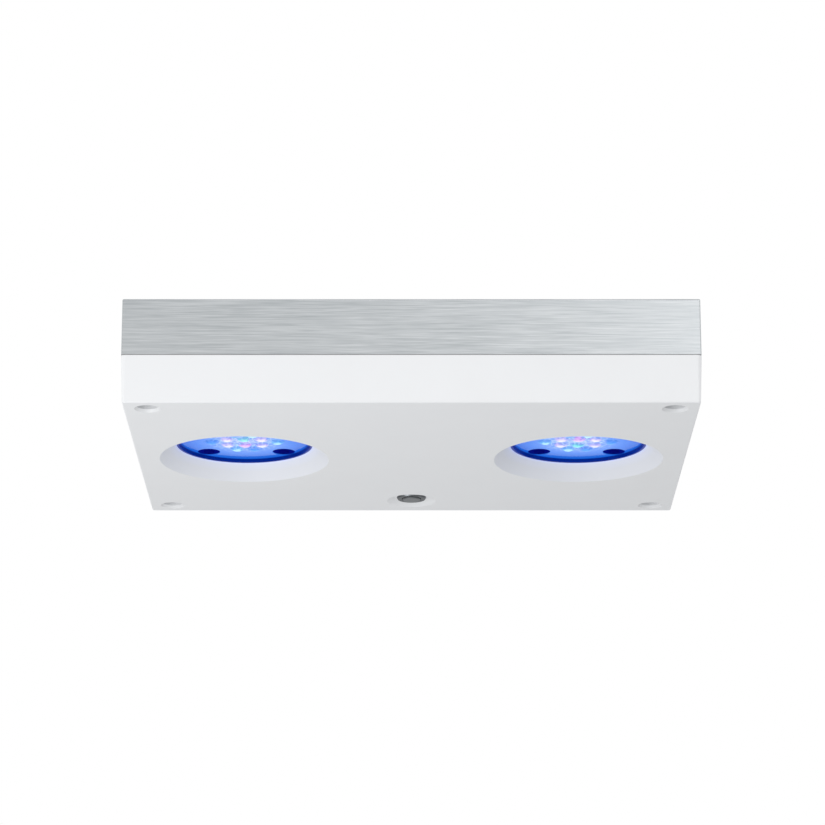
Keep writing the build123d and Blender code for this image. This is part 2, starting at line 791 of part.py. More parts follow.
with BuildPart() as button_bezel:
    with BuildSketch(upright(0, button_y)):
        with BuildLine():
            Polyline(
                (cap_radius + 0.7, dish_depth - bezel_drop),
                (bezel_face_radius, dish_depth - bezel_drop),
                (bezel_radius, dish_depth),
                (body_radius, dish_depth),
                (body_radius, body_top),
                (chamber_radius, body_top),
                (chamber_radius, lip_top),
                (cap_radius + cap_gap, lip_top),
                (cap_radius + cap_gap, dish_depth - bezel_drop + 0.8),
                close=True,
            )
        make_face()
    revolve(axis=Axis((0, button_y, 0), (0, 0, 1)))
save(button_bezel.part, "button_bezel")

with BuildPart() as button_cap:
    with BuildSketch(upright(0, button_y)):
        with BuildLine():
            Polyline(
                (0, cap_face),
                (cap_radius - 0.5, cap_face),
                (cap_radius, cap_face + 0.5),
                (cap_radius, lip_top),
                (chamber_radius - 0.2, lip_top),
                (chamber_radius - 0.2, shoulder_top),
                (stem_radius, shoulder_top),
                (stem_radius, spring_top - cap_travel - 0.4),
                (0, spring_top - cap_travel - 0.4),
                close=True,
            )
        make_face()
    revolve(axis=Axis((0, button_y, 0), (0, 0, 1)))
save(button_cap.part, "button_cap")

spring_mean = 3.9
spring_wire = 0.25
spring_free = spring_top - shoulder_top - 2 * spring_wire - 0.1
with BuildPart() as button_spring:
    with BuildLine() as coil:
        Helix(
            pitch=spring_free / 4, height=spring_free, radius=spring_mean,
            center=(0, button_y, shoulder_top + spring_wire + 0.05),
        )
    with BuildSketch(Plane(origin=coil.line @ 0, z_dir=coil.line % 0)):
        Circle(spring_wire)
    sweep(path=coil.line, is_frenet=True)
save(button_spring.part, "button_spring")

with BuildPart() as switch_block:
    with Locations((*button_spot, spring_top)):
        Cylinder(
            chamber_radius, switch_block_top - spring_top,
            align=(Align.CENTER, Align.CENTER, Align.MIN),
        )
        Cylinder(2.4, 1.5, align=(Align.CENTER, Align.CENTER, Align.MIN), mode=Mode.SUBTRACT)
save(switch_block.part, "switch_block")

with BuildPart() as switch_terminals:
    with Locations(
        *[(dx, button_y + dy, switch_block_top) for dx, dy in corners(2.5, 2.0)]
    ):
        Box(2.0, 0.5, 4.5, align=(Align.CENTER, Align.CENTER, Align.MIN))
save(switch_terminals.part, "switch_terminals")

with BuildPart() as switch_nut:
    with BuildSketch(Plane.XY.offset(switch_boss_top)):
        with Locations(button_spot):
            RegularPolygon(9.5, 6, major_radius=False)
            Circle(body_radius + 0.05, mode=Mode.SUBTRACT)
    extrude(amount=3)
save(switch_nut.part, "switch_nut")

with BuildPart() as switch_seal:
    with BuildSketch(Plane.XY.offset(dish_depth)):
        with Locations(button_spot):
            Circle(switch_seal_radius)
            Circle(switch_hole, mode=Mode.SUBTRACT)
    extrude(amount=switch_seal_height)
save(switch_seal.part, "switch_seal")

# ---------------------------------------------------------------- power inlet
wall_inside = casing_width / 2 - casing_sheet
inlet_radius = 5.5
inlet_body = 14.0
inlet_flange = 2.5
inlet_bore = 2.85
inlet_depth = 11.0
inlet_screw_radius = 1.05
with BuildPart() as inlet_housing:
    with BuildSketch(Plane.XZ.offset(-wall_inside)):
        with Locations((inlet_x, inlet_z)):
            RectangleRounded(24, 14, 2)
            with Locations((-inlet_screw_offset, 0), (inlet_screw_offset, 0)):
                Circle(inlet_screw_radius + 0.05, mode=Mode.SUBTRACT)
    extrude(amount=inlet_flange)
    with BuildSketch(Plane.XZ.offset(-wall_inside)):
        with Locations((inlet_x, inlet_z)):
            Circle(inlet_radius)
    extrude(amount=inlet_body)
    with BuildSketch(Plane.XZ.offset(-wall_inside)):
        with Locations((inlet_x, inlet_z)):
            Circle(inlet_radius)
    extrude(amount=-casing_sheet)
    with BuildSketch(Plane.XZ.offset(-casing_width / 2)):
        with Locations((inlet_x, inlet_z)):
            Circle(inlet_bore)
    extrude(amount=inlet_depth, mode=Mode.SUBTRACT)
save(inlet_housing.part, "inlet_housing")

with BuildPart() as inlet_pin:
    with BuildSketch(Plane.XZ.offset(-casing_width / 2 + inlet_depth)):
        with Locations((inlet_x, inlet_z)):
            Circle(1.0)
    extrude(amount=-(inlet_depth - 1.5))
    fillet(inlet_pin.faces().sort_by(Axis.Y)[-1].edges(), 0.5)
save(inlet_pin.part, "inlet_pin")

with BuildPart() as inlet_screws:
    for dx in (-inlet_screw_offset, inlet_screw_offset):
        with BuildSketch(Plane(origin=(inlet_x + dx, 0, inlet_z), x_dir=(1, 0, 0), z_dir=(0, 0, 1))):
            with BuildLine():
                face = casing_width / 2 - 0.15
                Polyline(
                    (0, face),
                    (2.2, face),
                    (inlet_screw_radius, face - 1.15),
                    (inlet_screw_radius, face - 5),
                    (0, face - 5),
                    close=True,
                )
            make_face()
        revolve(axis=Axis((inlet_x + dx, 0, inlet_z), (0, 1, 0)))
save(inlet_screws.part, "inlet_screws")

# ---------------------------------------------------------------- leads inside the casing
lead_height = driver_top + 4.2
header_side = header_x + 3
header_end = button_header_y + 3
connector_inner = module_x - connector_offset - connector_length / 2
connector_z = board_face - connector_height / 2
fan_lead_z = fan_base + 4


def bend_radii(vectors, share):
    """Radii of the tangent arcs at a route's corners, each as large as its two runs allow."""
    bends = []
    for before, corner, after in zip(vectors, vectors[1:], vectors[2:]):
        turn = (corner - before).get_angle(after - corner)
        shorter = min((corner - before).length, (after - corner).length)
        bends.append(share * shorter / math.tan(math.radians(turn / 2)))
    return bends


def make_leads(name, routes, radius, share=0.45):
    """One node of leads, each along straight runs joined by tangent arcs."""
    with BuildPart() as leads:
        for route in routes:
            vectors = [Vector(*point) for point in route]
            bends = bend_radii(vectors, share)
            print(name, "bend radii", [round(bend, 1) for bend in bends])
            with BuildLine() as path:
                FilletPolyline(*vectors, radius=bends)
            with BuildSketch(Plane(origin=path.line @ 0, z_dir=path.line % 0)):
                Circle(radius)
            sweep(path=path.line)
    save(leads.part, name)


led_routes = [
    [
        (way * connector_inner, 0, connector_z),
        (way * (header_side + 3.6), 0, connector_z),
        (way * (header_side + 3.6), 0, lead_height),
        (way * header_side, 0, lead_height),
    ]
    for way in (-1, 1)
]
make_leads("led_leads", led_routes, 0.9)

fan_routes = [
    [
        (way * (module_x - fan_size / 2), fan_header_y, fan_lead_z),
        (way * (header_side + 3.2), fan_header_y, fan_lead_z),
        (way * (header_side + 3.2), fan_header_y, lead_height),
        (way * header_side, fan_header_y, lead_height),
    ]
    for way in (-1, 1)
]
make_leads("fan_leads", fan_routes, 0.8, share=0.35)

button_route = [
    (0, button_y, switch_block_top),
    (0, button_y, switch_block_top + 12),
    (0, button_y - 14, switch_block_top + 12),
    (0, header_end + 10, lead_height),
    (0, header_end, lead_height),
]
make_leads("button_lead", [button_route], 1.1)

inlet_route = [
    (inlet_x, wall_inside - inlet_body, inlet_z),
    (inlet_x, wall_inside - 27, inlet_z),
    (inlet_x - 13, wall_inside - 39, 30),
    (inlet_header_x, header_end + 13, lead_height),
    (inlet_header_x, header_end, lead_height),
]
make_leads("inlet_lead", [inlet_route], 1.9)
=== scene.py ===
import json
import math

import bmesh
import bpy
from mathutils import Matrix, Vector


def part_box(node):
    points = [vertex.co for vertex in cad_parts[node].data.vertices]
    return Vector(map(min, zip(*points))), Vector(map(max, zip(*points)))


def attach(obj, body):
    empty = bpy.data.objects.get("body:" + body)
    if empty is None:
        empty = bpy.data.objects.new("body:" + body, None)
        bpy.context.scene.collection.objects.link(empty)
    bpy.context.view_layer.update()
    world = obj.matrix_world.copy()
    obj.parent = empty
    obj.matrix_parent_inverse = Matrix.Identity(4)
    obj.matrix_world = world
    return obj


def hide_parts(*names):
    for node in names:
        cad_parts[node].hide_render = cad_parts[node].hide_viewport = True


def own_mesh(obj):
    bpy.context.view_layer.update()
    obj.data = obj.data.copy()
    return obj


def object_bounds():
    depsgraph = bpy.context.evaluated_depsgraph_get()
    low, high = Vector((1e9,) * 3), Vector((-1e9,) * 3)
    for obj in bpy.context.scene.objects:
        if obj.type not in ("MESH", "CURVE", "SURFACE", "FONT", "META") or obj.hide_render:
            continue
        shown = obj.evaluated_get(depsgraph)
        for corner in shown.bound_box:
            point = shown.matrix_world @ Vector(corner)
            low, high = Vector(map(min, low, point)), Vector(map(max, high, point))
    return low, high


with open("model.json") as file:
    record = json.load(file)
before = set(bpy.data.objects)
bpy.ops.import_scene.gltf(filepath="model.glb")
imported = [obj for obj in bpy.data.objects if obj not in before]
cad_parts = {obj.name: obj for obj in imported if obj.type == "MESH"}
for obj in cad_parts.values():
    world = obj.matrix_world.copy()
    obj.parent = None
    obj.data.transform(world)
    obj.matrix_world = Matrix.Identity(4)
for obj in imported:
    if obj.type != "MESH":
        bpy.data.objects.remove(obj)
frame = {"nodes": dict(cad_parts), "record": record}
cad_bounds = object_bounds()

# ---------------------------------------------------------------- places read from the frame
MM = 0.001
low, high = cad_bounds
middle = (low + high) / 2
optic_low, optic_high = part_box("optic_right")
module_x = (optic_low.x + optic_high.x) / 2
module_places = {"left": Vector((-module_x, 0, 0)), "right": Vector((module_x, 0, 0))}
LED_COLOURS = ("white", "cyan", "royal_blue", "red", "green")


def solid_middles(node, reach=5 * MM):
    """The middle, in plan, of each of a node's separate solids, which stand further apart than reach."""
    groups = []
    for vertex in frame["nodes"][node].data.vertices:
        place = Vector((vertex.co.x, vertex.co.y, 0))
        for group in groups:
            if (group[0] - place).length < reach:
                group.append(place)
                break
        else:
            groups.append([place])
    middles = []
    for group in groups:
        xs = [place.x for place in group]
        ys = [place.y for place in group]
        middles.append(Vector(((min(xs) + max(xs)) / 2, (min(ys) + max(ys)) / 2, 0)))
    return middles


led_middles = {colour: solid_middles(f"leds_{colour}") for colour in LED_COLOURS}

# ---------------------------------------------------------------- camera
VIEW_ELEVATION = math.radians(-16.39)  # seen from below the front
VIEW_DISTANCE = 1.857
VIEW_TARGET = Vector((0.6 * MM, 0, middle.z - 1.2 * MM))
LENS = 148.14  # mm, on a sensor SENSOR wide
SENSOR = 36

camera_data = bpy.data.cameras.new("camera")
camera_data.lens = LENS
camera_data.sensor_width = SENSOR
camera = bpy.data.objects.new("camera", camera_data)
back = Vector((0, -math.cos(VIEW_ELEVATION), math.sin(VIEW_ELEVATION)))
camera.location = VIEW_TARGET + back * VIEW_DISTANCE
camera.rotation_euler = (math.pi / 2 - VIEW_ELEVATION, 0, 0)
bpy.context.scene.collection.objects.link(camera)
bpy.context.scene.camera = camera

# ---------------------------------------------------------------- light and floor
FLOOR_DROP = 2.0  # the aquarium light hangs this far above the floor
FLOOR_HALF = 30  # half the floor's width

bpy.context.scene.view_settings.view_transform = "Standard"
world = bpy.data.worlds.new("white studio")
bpy.context.scene.world = world
world.use_nodes = True
world.node_tree.nodes["Background"].inputs["Color"].default_value = (1, 1, 1, 1)
world.node_tree.nodes["Background"].inputs["Strength"].default_value = 1.0


def area_light(name, place, target, size, power):
    """A square soft light at place that faces target."""
    data = bpy.data.lights.new(name, "AREA")
    data.size = size
    data.energy = power
    light = bpy.data.objects.new(name, data)
    light.location = place
    light.rotation_euler = (Vector(target) - Vector(place)).to_track_quat("-Z", "Y").to_euler()
    bpy.context.scene.collection.objects.link(light)
    return light


area_light("key", (-0.5, -0.5, -0.68), middle, 0.4, 3.5)
area_light("front right fill", (0.42, -1.15, 0.36), middle, 0.4, 0.9)


# ---------------------------------------------------------------- material helpers
def principled(name, colour, roughness, metallic=0.0, **sockets):
    """A new material with its Principled shader set. Further sockets are given by name, _ for a space."""
    made = bpy.data.materials.new(name)
    made.use_nodes = True
    shader = made.node_tree.nodes["Principled BSDF"]
    shader.inputs["Base Color"].default_value = (*colour, 1)
    shader.inputs["Roughness"].default_value = roughness
    shader.inputs["Metallic"].default_value = metallic
    for key, value in sockets.items():
        shader.inputs[key.replace("_", " ")].default_value = value
    return made


def nodes_of(made):
    """The node tree of a material and its Principled shader."""
    return made.node_tree, made.node_tree.nodes["Principled BSDF"]


def object_place(tree):
    """The place in the object's own frame, which is the row frame."""
    return tree.nodes.new("ShaderNodeTexCoord").outputs["Object"]


def noise(tree, scale, detail=3.0, stretch=(1, 1, 1), place=None):
    """A noise's value, with its place stretched."""
    mapping = tree.nodes.new("ShaderNodeMapping")
    mapping.inputs["Scale"].default_value = stretch
    tree.links.new(place or object_place(tree), mapping.inputs["Vector"])
    texture = tree.nodes.new("ShaderNodeTexNoise")
    texture.inputs["Scale"].default_value = scale
    texture.inputs["Detail"].default_value = detail
    tree.links.new(mapping.outputs["Vector"], texture.inputs["Vector"])
    return texture.outputs["Fac"]


def ramp(tree, value, stops, interpolation="LINEAR"):
    """A colour ramp: stops are (place, colour)."""
    made = tree.nodes.new("ShaderNodeValToRGB")
    made.color_ramp.interpolation = interpolation
    elements = made.color_ramp.elements
    while len(elements) < len(stops):
        elements.new(0.5)
    for element, (place, colour) in zip(elements, stops):
        element.position = place
        element.color = (*colour, 1)
    tree.links.new(value, made.inputs["Fac"])
    return made.outputs["Color"]


def spread(tree, value, low_value, high_value):
    """A value from 0 to 1 spread over another range."""
    made = tree.nodes.new("ShaderNodeMapRange")
    made.inputs["To Min"].default_value = low_value
    made.inputs["To Max"].default_value = high_value
    tree.links.new(value, made.inputs["Value"])
    return made.outputs["Result"]


def arithmetic(tree, operation, first, second=0.0):
    """One Math node: each of its inputs is a socket or a number."""
    made = tree.nodes.new("ShaderNodeMath")
    made.operation = operation
    for socket, value in zip(made.inputs, (first, second)):
        if isinstance(value, (int, float)):
            socket.default_value = value
        else:
            tree.links.new(value, socket)
    return made.outputs["Value"]


def bump(tree, shader, height, distance, strength=1.0):
    """Bump from a height, in metres at full height."""
    made = tree.nodes.new("ShaderNodeBump")
    made.inputs["Strength"].default_value = strength
    made.inputs["Distance"].default_value = distance
    tree.links.new(height, made.inputs["Height"])
    tree.links.new(made.outputs["Normal"], shader.inputs["Normal"])


def shade(colour, share):
    """A colour made darker or lighter."""
    return tuple(min(1.0, part * share) for part in colour)


# ---------------------------------------------------------------- materials
END_WALL_FACING = 0.7  # a face whose normal leans further than this towards X is on an end wall
FINE_STREAKS = (60, 2200, 2200)  # per metre, along and across the brushing
COARSE_STREAKS = (24, 900, 900)
FINE_SHARE = 0.6


def brushed_sheet(name):
    """Aluminium sheet brushed along its length, with the end walls brushed along their own length."""
    made = principled(name, (0.5, 0.52, 0.53), 0.34, 1.0)
    tree, shader = nodes_of(made)
    place = object_place(tree)
    split = tree.nodes.new("ShaderNodeSeparateXYZ")
    tree.links.new(place, split.inputs["Vector"])
    normal = tree.nodes.new("ShaderNodeNewGeometry").outputs["True Normal"]
    facing = tree.nodes.new("ShaderNodeSeparateXYZ")
    tree.links.new(normal, facing.inputs["Vector"])
    sideways = arithmetic(tree, "ABSOLUTE", facing.outputs["X"])
    on_end = arithmetic(tree, "GREATER_THAN", sideways, END_WALL_FACING)
    swap = tree.nodes.new("ShaderNodeMix")
    swap.data_type = "VECTOR"
    turned = tree.nodes.new("ShaderNodeCombineXYZ")
    tree.links.new(split.outputs["Y"], turned.inputs["X"])
    tree.links.new(split.outputs["X"], turned.inputs["Y"])
    tree.links.new(split.outputs["Z"], turned.inputs["Z"])
    tree.links.new(on_end, swap.inputs["Factor"])
    tree.links.new(place, swap.inputs[4])
    tree.links.new(turned.outputs["Vector"], swap.inputs[5])
    along = swap.outputs[1]
    fine = noise(tree, 1.0, 2, FINE_STREAKS, along)
    coarse = noise(tree, 1.0, 3, COARSE_STREAKS, along)
    mixed = arithmetic(
        tree,
        "ADD",
        arithmetic(tree, "MULTIPLY", fine, FINE_SHARE),
        arithmetic(tree, "MULTIPLY", coarse, 1 - FINE_SHARE),
    )
    colour = ramp(tree, mixed, [(0.3, (0.39, 0.415, 0.43)), (0.7, (0.6, 0.62, 0.635))])
    tree.links.new(colour, shader.inputs["Base Color"])
    tree.links.new(spread(tree, mixed, 0.22, 0.5), shader.inputs["Roughness"])
    bump(tree, shader, mixed, 0.03 * MM, 0.6)
    return made


def moulded(name, colour, roughness, grain=900, depth=0.01, speckle=0.03, **sockets):
    """Moulded plastic or paint: a faint change of colour and a fine skin."""
    made = principled(name, colour, roughness, **sockets)
    tree, shader = nodes_of(made)
    cloud = noise(tree, 35, 3)
    tone = ramp(tree, cloud, [(0.3, shade(colour, 1 - speckle)), (0.7, shade(colour, 1 + speckle))])
    tree.links.new(tone, shader.inputs["Base Color"])
    skin = noise(tree, grain, 2)
    tree.links.new(spread(tree, skin, roughness * 0.85, roughness * 1.15), shader.inputs["Roughness"])
    bump(tree, shader, skin, depth * MM, 0.5)
    return made


def turned_metal(name, colour, roughness, grain=(1500, 1500, 9000), **sockets):
    """Machined or drawn metal with fine marks."""
    made = principled(name, colour, roughness, 1.0, **sockets)
    tree, shader = nodes_of(made)
    marks = noise(tree, 1.0, 3, grain)
    tone = ramp(tree, marks, [(0.3, shade(colour, 0.82)), (0.7, shade(colour, 1.12))])
    tree.links.new(tone, shader.inputs["Base Color"])
    tree.links.new(spread(tree, marks, roughness * 0.7, roughness * 1.3), shader.inputs["Roughness"])
    bump(tree, shader, marks, 0.01 * MM, 0.5)
    return made


def module_place(tree):
    """The place in plan from the middle of the nearer light module, as the left module has it.

    The right module is the left one turned half round.
    """
    split = tree.nodes.new("ShaderNodeSeparateXYZ")
    tree.links.new(object_place(tree), split.inputs["Vector"])
    turn = arithmetic(tree, "MULTIPLY", arithmetic(tree, "SIGN", split.outputs["X"]), -1.0)
    across = arithmetic(tree, "ADD", arithmetic(tree, "MULTIPLY", split.outputs["X"], turn), module_x)
    joined = tree.nodes.new("ShaderNodeCombineXYZ")
    tree.links.new(across, joined.inputs["X"])
    tree.links.new(arithmetic(tree, "MULTIPLY", split.outputs["Y"], turn), joined.inputs["Y"])
    return joined.outputs["Vector"]


def distance_to(tree, place, point):
    """The distance from a place to a point."""
    made = tree.nodes.new("ShaderNodeVectorMath")
    made.operation = "DISTANCE"
    made.inputs[1].default_value = point
    tree.links.new(place, made.inputs[0])
    return made.outputs["Value"]


def colour_mix(tree, blend_type, first, second, factor=1.0):
    """Two colours mixed: factor and second are each a socket or a value."""
    made = tree.nodes.new("ShaderNodeMix")
    made.data_type = "RGBA"
    made.blend_type = blend_type
    for socket, value in ((made.inputs[0], factor), (made.inputs[6], first), (made.inputs[7], second)):
        if isinstance(value, bpy.types.NodeSocket):
            tree.links.new(value, socket)
        elif isinstance(value, tuple):
            socket.default_value = (*value, 1)
        else:
            socket.default_value = value
    return made.outputs[2]


LENS_RADIUS = 36 * MM
THROAT_RADIUS = 37.2 * MM
SPILL_REACH = 4 * MM  # how far the blue light spills on to the flare
# cells per metre of the painted highlight glints on the optic's facets
FACET_GLINTS_PER_METRE = 330
WANDER_PER_METRE = 420
OPTIC_COVER = 0.85  # the share of the optic that glows, and the rest is clear
BLUE_FIELD = [
    (0.0, (0.30, 0.40, 0.90)),
    (0.4, (0.17, 0.34, 0.86)),
    (0.7, (0.06, 0.23, 0.80)),
    (0.95, (0.01, 0.13, 0.68)),
    (0.99, (0.001, 0.02, 0.24)),
    (1.0, (0.0, 0.01, 0.17)),
]
SPOT_COLOURS = {
    "white": ((1.0, 0.93, 1.0), (0.75, 0.5, 0.95)),
    "cyan": ((0.55, 0.95, 1.0), (0.12, 0.55, 0.95)),
    "royal_blue": ((0.1, 0.38, 1.0), (0.04, 0.24, 0.85)),
    "red": ((1.0, 0.6, 0.92), (0.95, 0.25, 0.75)),
    "green": ((0.3, 1.0, 0.75), (0.05, 0.7, 0.6)),
}
SPOT_RADIUS = 4.5 * MM
SPOT_WANDER = 4 * MM  # how far a spot's outline strays


def blue_field(tree, place):
    """Blue light across a module, palest in the middle and navy at the rim."""
    share = arithmetic(tree, "DIVIDE", distance_to(tree, place, (0, 0, 0)), LENS_RADIUS)
    return ramp(tree, share, BLUE_FIELD)


def lit_optic(name):
    """Clear moulded optic over lit LEDs: each lenslet glows in its LED's colour in a blue field, with
    painted glints on facet edges near the middle.
    """
    made = principled(
        name, (0.0, 0.01, 0.08), 0.09, IOR=1.45, Specular_IOR_Level=0.25, Emission_Strength=1.0
    )
    tree, shader = nodes_of(made)
    place = module_place(tree)
    light = blue_field(tree, place)
    wander = tree.nodes.new("ShaderNodeTexNoise")
    wander.inputs["Scale"].default_value = WANDER_PER_METRE
    wander.inputs["Detail"].default_value = 2
    tree.links.new(place, wander.inputs["Vector"])
    shift = tree.nodes.new("ShaderNodeVectorMath")
    shift.operation = "MULTIPLY_ADD"
    shift.inputs[1].default_value = (SPOT_WANDER, SPOT_WANDER, 0)
    tree.links.new(wander.outputs["Color"], shift.inputs[0])
    tree.links.new(place, shift.inputs[2])
    wandered = tree.nodes.new("ShaderNodeVectorMath")
    wandered.operation = "SUBTRACT"
    wandered.inputs[1].default_value = (SPOT_WANDER / 2, SPOT_WANDER / 2, 0)
    tree.links.new(shift.outputs["Vector"], wandered.inputs[0])
    spot_place = wandered.outputs["Vector"]
    # Painted highlight: the bright edges of a Voronoi cell pattern, strongest near the module's middle,
    # are added to the glow as painted glints on lens facets.
    facet_glint_cells = tree.nodes.new("ShaderNodeTexVoronoi")
    facet_glint_cells.feature = "DISTANCE_TO_EDGE"
    facet_glint_cells.inputs["Scale"].default_value = FACET_GLINTS_PER_METRE
    tree.links.new(place, facet_glint_cells.inputs["Vector"])
    near = ramp(
        tree,
        arithmetic(tree, "DIVIDE", distance_to(tree, place, (0, 0, 0)), LENS_RADIUS),
        [(0.0, (0.5, 0.5, 0.5)), (0.45, (0.35, 0.35, 0.35)), (0.62, (0, 0, 0))],
    )
    glint = ramp(tree, facet_glint_cells.outputs["Distance"], [(0.0, (0.75, 0.8, 1.0)), (0.12, (0, 0, 0))])
    light = colour_mix(tree, "ADD", light, colour_mix(tree, "MULTIPLY", glint, near))
    for colour in LED_COLOURS:
        core, halo = SPOT_COLOURS[colour]
        for spot in led_middles[colour]:
            if spot.x > 0:
                continue
            share = arithmetic(
                tree, "DIVIDE", distance_to(tree, spot_place, spot - module_places["left"]), SPOT_RADIUS
            )
            edge = shade(halo, 0.5)
            colour_here = ramp(tree, share, [(0.0, core), (0.4, core), (0.62, halo), (0.9, edge)])
            cover = ramp(tree, share, [(0.0, (1, 1, 1)), (0.5, (0.8, 0.8, 0.8)), (1.0, (0, 0, 0))])
            light = colour_mix(tree, "MIX", light, colour_here, cover)
    tree.links.new(light, shader.inputs["Emission Color"])
    clear = tree.nodes.new("ShaderNodeBsdfTransparent")
    mix = tree.nodes.new("ShaderNodeMixShader")
    mix.inputs["Fac"].default_value = OPTIC_COVER
    tree.links.new(clear.outputs["BSDF"], mix.inputs[1])
    tree.links.new(shader.outputs["BSDF"], mix.inputs[2])
    tree.links.new(mix.outputs["Shader"], tree.nodes["Material Output"].inputs["Surface"])
    return made


def lit_board(name):
    """The LED board's blue face, lit by its own LEDs."""
    made = principled(name, (0.02, 0.08, 0.4), 0.4, Emission_Strength=0.8)
    tree, shader = nodes_of(made)
    tree.links.new(blue_field(tree, module_place(tree)), shader.inputs["Emission Color"])
    return made


def white_moulding(name):
    """White cover, with the blue light that spills on the edge of each flared recess."""
    made = moulded(name, (0.835, 0.845, 0.86), 0.4, speckle=0.006)
    tree, shader = nodes_of(made)
    beyond = arithmetic(
        tree, "SUBTRACT", distance_to(tree, module_place(tree), (0, 0, 0)), THROAT_RADIUS
    )
    spill = ramp(
        tree,
        arithmetic(tree, "DIVIDE", beyond, SPILL_REACH),
        [(0.0, (0.02, 0.07, 0.35)), (0.2, (0.006, 0.02, 0.08)), (1.0, (0, 0, 0))],
    )
    tree.links.new(spill, shader.inputs["Emission Color"])
    shader.inputs["Emission Strength"].default_value = 1.0
    return made


def lit_navy(name, colour):
    """Black plastic or blacked steel bathed in the module's blue light."""
    made = moulded(name, colour, 0.5, Specular_IOR_Level=0.0, Emission_Strength=0.7)
    nodes_of(made)[1].inputs["Emission Color"].default_value = (*colour, 1)
    return made


def lit_led(name, colour, strength):
    """An LED that is on."""
    return principled(
        name, shade(colour, 0.8), 0.3, Emission_Color=(*colour, 1), Emission_Strength=strength
    )


materials = {
    "brushed_casing": brushed_sheet("brushed_casing"),
    "white_cover": white_moulding("white_cover"),
    "seal_rubber": moulded("seal_rubber", (0.36, 0.36, 0.37), 0.7),
    "steel_screws": turned_metal("steel_screws", (0.6, 0.61, 0.62), 0.3),
    "steel_nuts": turned_metal("steel_nuts", (0.55, 0.55, 0.56), 0.3),
    "post_aluminium": turned_metal("post_aluminium", (0.7, 0.71, 0.72), 0.35),
    "clear_optic": lit_optic("clear_optic"),
    "led_board": lit_board("led_board"),
    "thermal_pad": moulded("thermal_pad", (0.25, 0.25, 0.27), 0.8),
    "led_white": lit_led("led_white", (1.0, 0.85, 1.0), 4),
    "led_cyan": lit_led("led_cyan", (0.35, 0.85, 1.0), 2),
    "led_royal_blue": lit_led("led_royal_blue", (0.03, 0.15, 0.9), 1),
    "led_red": lit_led("led_red", (1.0, 0.3, 0.85), 2.5),
    "led_green": lit_led("led_green", (0.15, 0.9, 0.6), 2),
    "black_washer": lit_navy("black_washer", (0.001, 0.003, 0.13)),
    "black_screw": lit_navy("black_screw", (0.001, 0.002, 0.1)),
    "connector_white": moulded("connector_white", (0.8, 0.79, 0.74), 0.45),
    "sink_aluminium": turned_metal("sink_aluminium", (0.66, 0.67, 0.68), 0.4, (30, 4000, 4000)),
    "fan_black": moulded("fan_black", (0.025, 0.025, 0.027), 0.5),
    "fan_blade": moulded("fan_blade", (0.03, 0.03, 0.033), 0.35),
    "magnet": moulded("magnet", (0.1, 0.1, 0.1), 0.6),
    "motor_copper": turned_metal("motor_copper", (0.75, 0.35, 0.18), 0.35),
    "bearing_bronze": turned_metal("bearing_bronze", (0.6, 0.42, 0.2), 0.4),
    "circuit_board": moulded("circuit_board", (0.01, 0.16, 0.07), 0.35),
    "standoff_brass": turned_metal("standoff_brass", (0.75, 0.58, 0.28), 0.25),
    "inductor_grey": moulded("inductor_grey", (0.12, 0.12, 0.13), 0.6),
    "capacitor_can": turned_metal("capacitor_can", (0.68, 0.69, 0.7), 0.25),
    "chip_black": moulded("chip_black", (0.015, 0.015, 0.016), 0.5),
    "button_grey": turned_metal("button_grey", (0.24, 0.25, 0.26), 0.35),
    "bezel_grey": turned_metal("bezel_grey", (0.15, 0.16, 0.17), 0.35),
    "spring_steel": turned_metal("spring_steel", (0.6, 0.6, 0.6), 0.25),
    "switch_black": moulded("switch_black", (0.02, 0.02, 0.022), 0.45),
    "contact_brass": turned_metal("contact_brass", (0.8, 0.62, 0.3), 0.25),
    "inlet_black": moulded("inlet_black", (0.02, 0.02, 0.022), 0.4),
    "lead_black": moulded("lead_black", (0.02, 0.02, 0.021), 0.55),
}

for row in frame["record"]["subparts"]:
    node = frame["nodes"][row["node"]]
    node.material_slots[0].material = materials[row["material_slot"]]


# ---------------------------------------------------------------- pieces in mesh code
ceramic = moulded("led_ceramic", (0.8, 0.79, 0.75), 0.5)
solder = turned_metal("solder", (0.72, 0.73, 0.74), 0.25)
resistor_black = moulded("resistor_black", (0.02, 0.02, 0.022), 0.4)


def add_block(work, lowest, highest, slant=0.0, slot=0, up=True):
    """A block in a bmesh whose far face is drawn in by slant."""
    near, far = (lowest.z, highest.z) if up else (highest.z, lowest.z)
    rings = []
    for z, inset in ((near, 0.0), (far, slant)):
        ring = [
            work.verts.new((x, y, z))
            for x, y in (
                (lowest.x + inset, lowest.y + inset),
                (highest.x - inset, lowest.y + inset),
                (highest.x - inset, highest.y - inset),
                (lowest.x + inset, highest.y - inset),
            )
        ]
        rings.append(ring)
    made = [work.faces.new(rings[0]), work.faces.new(rings[1])]
    for i in range(4):
        j = (i + 1) % 4
        made.append(work.faces.new((rings[0][i], rings[0][j], rings[1][j], rings[1][i])))
    for face in made:
        face.material_index = slot


def add_dome(work, centre, radius, height, slot, segments=24, rings=6):
    """A dome in a bmesh that hangs down from centre."""
    loops = []
    for step in range(rings):
        angle = math.pi / 2 * step / rings
        loops.append([
            work.verts.new((
                centre.x + radius * math.cos(angle) * math.cos(2 * math.pi * i / segments),
                centre.y + radius * math.cos(angle) * math.sin(2 * math.pi * i / segments),
                centre.z - height * math.sin(angle),
            ))
            for i in range(segments)
        ])
    tip = work.verts.new((centre.x, centre.y, centre.z - height))
    for first, second in zip(loops, loops[1:]):
        for i in range(segments):
            j = (i + 1) % segments
            face = work.faces.new((first[i], first[j], second[j], second[i]))
            face.material_index = slot
            face.smooth = True
    for i in range(segments):
        face = work.faces.new((loops[-1][i], loops[-1][(i + 1) % segments], tip))
        face.material_index = slot
        face.smooth = True


